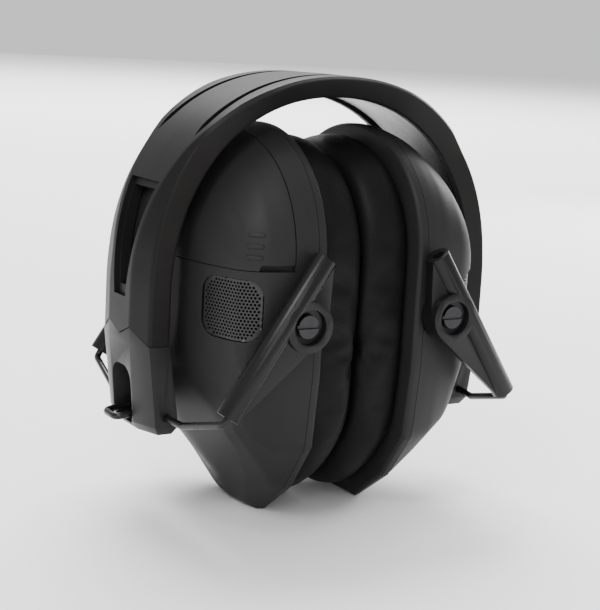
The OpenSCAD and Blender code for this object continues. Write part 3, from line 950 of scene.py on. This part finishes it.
def build_cups():
    global CUP_TREE
    skin = cup_skin("cup_skin")
    CUP_TREE = BVHTree.FromObject(skin, bpy.context.evaluated_depsgraph_get())
    sheet = grille("right_grille")
    carve(skin, [window_cutter()], sharp=38.0)
    right, left, door = skin, mirrored(skin, "left_cup"), skin.copy()
    door.data = skin.data.copy()
    bpy.context.scene.collection.objects.link(door)
    right.name = "right_cup"
    cutters = [prism("knob_well", disc_outline(6.6), KNOB_AT, KNOB_OUT, -1.2, 8),
               prism("knob_hole", disc_outline(2.5, 32), KNOB_AT, KNOB_OUT, -6, 8),
               prism("socket_hole", disc_outline(4.2), SOCKET_AT, SOCKET_OUT, -6, 8)]
    carve(right, cutters, sharp=38.0)
    carve(left, [block("door_cutter", (-60, -45, DOOR_Z), (-DOOR_X, 45, 120))], sharp=38.0)
    keeper = block("door_keeper", (DOOR_X + DOOR_GAP_X, -45, DOOR_Z + DOOR_GAP_Z), (60, 45, 120))
    carve(door, [keeper], "INTERSECT", 38.0)
    carve(door, [finger_notch()], sharp=38.0)
    cover = mirrored(door, "door_cover")
    bpy.data.objects.remove(door, do_unlink=True)
    ribs = []
    profile = [(1.0, -0.3), (1.0, 0.12), (0.95, 0.3), (0.8, 0.38), (0.3, 0.38)]
    outline = rounded_rectangle(4.7, 1.0, 0.42, 4)
    for k, spot in enumerate(GRIPS_AT):
        rib = drape("door_rib_%d" % k, outline, spot, GRIPS_OUT, profile, CUP)
        ribs.append(mirrored(rib, "door_grip_%d" % k))
        bpy.data.objects.remove(rib, do_unlink=True)
    ledge = notch_floor("left_notch_floor")
    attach(ledge, "left_cup")
    for rib in ribs + [cover]:
        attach(rib, "battery_door")
    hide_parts("battery_door")
    for side, shell in (("left", left), ("right", right)):
        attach(shell, side + "_cup")
        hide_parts(side + "_cup_shell")
    for side, item in (("right", sheet), ("left", mirrored(sheet, "left_grille"))):
        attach(item, side + "_cup")
        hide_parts(side + "_mic_mesh")
    # The dark sheet behind each grille is painted shade for the hollow behind the holes.
    foam = mic_hollow_shade("right_mic_foam")
    for side, item in (("right", foam), ("left", mirrored(foam, "left_mic_foam"))):
        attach(item, side + "_cup")
    seat = ring_seat("knob_seat")
    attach(seat, "right_cup")


def build_rims_and_cushions():
    plate, pad = rim("right_rim"), cushion("right_cushion")
    pairs = (("right", plate, pad), ("left", mirrored(plate, "left_rim"), mirrored(pad, "left_cushion")))
    for side, edge, ring in pairs:
        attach(edge, side + "_cup")
        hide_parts(side + "_rim_plate")
        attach(ring, side + "_cup")
        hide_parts(side + "_ear_cushion")


def build_band():
    half, strip = headband_half("right_headband"), headband_liner("right_liner")
    parts = (("right", half, strip), ("left", mirrored(half, "left_headband"), mirrored(strip, "left_liner")))
    for side, band, lining in parts:
        sign = SIDES[side]
        a, b = band_point(5, 3), band_point(36, 3)
        start, end = (sign * a[0] * MM, 0, a[1] * MM), (sign * b[0] * MM, 0, b[1] * MM)
        for obj, slot in ((band, "band"), (lining, "liner")):
            side + "_band"
            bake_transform(obj)
        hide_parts("headband_crown", side + "_headband_side")
        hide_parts("headband_liner_crown", side + "_headband_liner")


def build_arms():
    wire = wire_yoke("right_wire")
    for side, obj in (("right", wire), ("left", mirrored(wire, "left_wire"))):
        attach(obj, side + "_yoke")
        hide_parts(side + "_wire_yoke")
        cap = remade(side + "_end_cap", 0.35, CAP)
        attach(cap, side + "_band")
        for place in ("front", "rear"):
            arm = remade(side + "_" + place + "_arm", 0.22, NYLON)
            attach(arm, side + "_arms")


# ---- Room and camera -----------------------------------------------------------------------

def lamp(name, at, look, size, power, height=None):
    light = bpy.data.lights.new(name, "AREA")
    light.shape, light.size, light.size_y = "RECTANGLE", size, height or size
    light.energy = power
    obj = bpy.data.objects.new(name, light)
    obj.location = at
    obj.rotation_euler = (Vector(look) - Vector(at)).to_track_quat("-Z", "Y").to_euler()
    bpy.context.scene.collection.objects.link(obj)


def build_room():
    floor = piece("floor", [(-6000, -6000, -0.2), (6000, -6000, -0.2), (6000, 6000, -0.2), (-6000, 6000, -0.2)],
                  [(0, 1, 2, 3)], floor_finish())
    world = bpy.data.worlds.new("studio")
    world.use_nodes = True
    background = world.node_tree.nodes["Background"]
    background.inputs["Color"].default_value = (1.0, 1.0, 1.0, 1.0)
    background.inputs["Strength"].default_value = 0.85
    bpy.context.scene.world = world
    lamp("key_softbox", (-0.55, -0.35, 0.75), (0, 0, 0.06), 0.30, 4.2)
    lamp("front_strip", (-0.42, -0.75, 0.50), (0, 0, 0.06), 0.08, 1.6, height=0.5)
    lamp("rim_softbox", (0.8, 0.35, 0.35), (0, 0, 0.06), 0.4, 3.6)
    lamp("top_softbox", (0.1, 0.2, 0.9), (0, 0, 0.08), 0.4, 0.9)
    lamp("floor_wash", (0.9, 1.9, 2.2), (0.9, 1.9, 0.0), 2.4, 220.0)


def floor_finish():
    finish = Finish("pale_floor")
    tone = finish.noise(900.0, 1.0)
    finish.color(finish.mix(tone, (0.93, 0.93, 0.93), (0.95, 0.95, 0.95)))
    finish.roughness(0.7 + tone * 0.05)
    return finish.material


# Focal length and shift in the units of the picture's height of 610; sensor in millimetres
PICTURE_HIGH, FOCAL, SHIFT, SENSOR = 610.0, 1419.0, -4.8, 36.0
CAMERA_AIM, CAMERA_AWAY = Vector((-0.0001, 0, 0.0586)), 0.42


def build_camera():
    turn, tip, lean = math.radians(31.73), math.radians(10.39), math.radians(3.20)
    ahead = Vector((math.sin(turn) * math.cos(tip), math.cos(turn) * math.cos(tip), -math.sin(tip)))
    level = Vector((math.cos(turn), -math.sin(turn), 0))
    up = level.cross(ahead)
    right = level * math.cos(lean) + up * math.sin(lean)
    above = up * math.cos(lean) - level * math.sin(lean)
    lens = bpy.data.cameras.new("camera")
    lens.lens, lens.sensor_width, lens.sensor_fit = SENSOR * FOCAL / PICTURE_HIGH, SENSOR, "AUTO"
    lens.shift_y = SHIFT / PICTURE_HIGH
    lens.clip_start = 0.01
    camera = bpy.data.objects.new("camera", lens)
    stand = Matrix.Translation(CAMERA_AIM - ahead * CAMERA_AWAY)
    camera.matrix_world = stand @ Matrix((right, above, -ahead)).transposed().to_4x4()
    bpy.context.scene.collection.objects.link(camera)
    bpy.context.scene.camera = camera


finish_nodes()
build_camera()
build_cups()
build_rims_and_cushions()
build_band()
build_arms()
build_room()
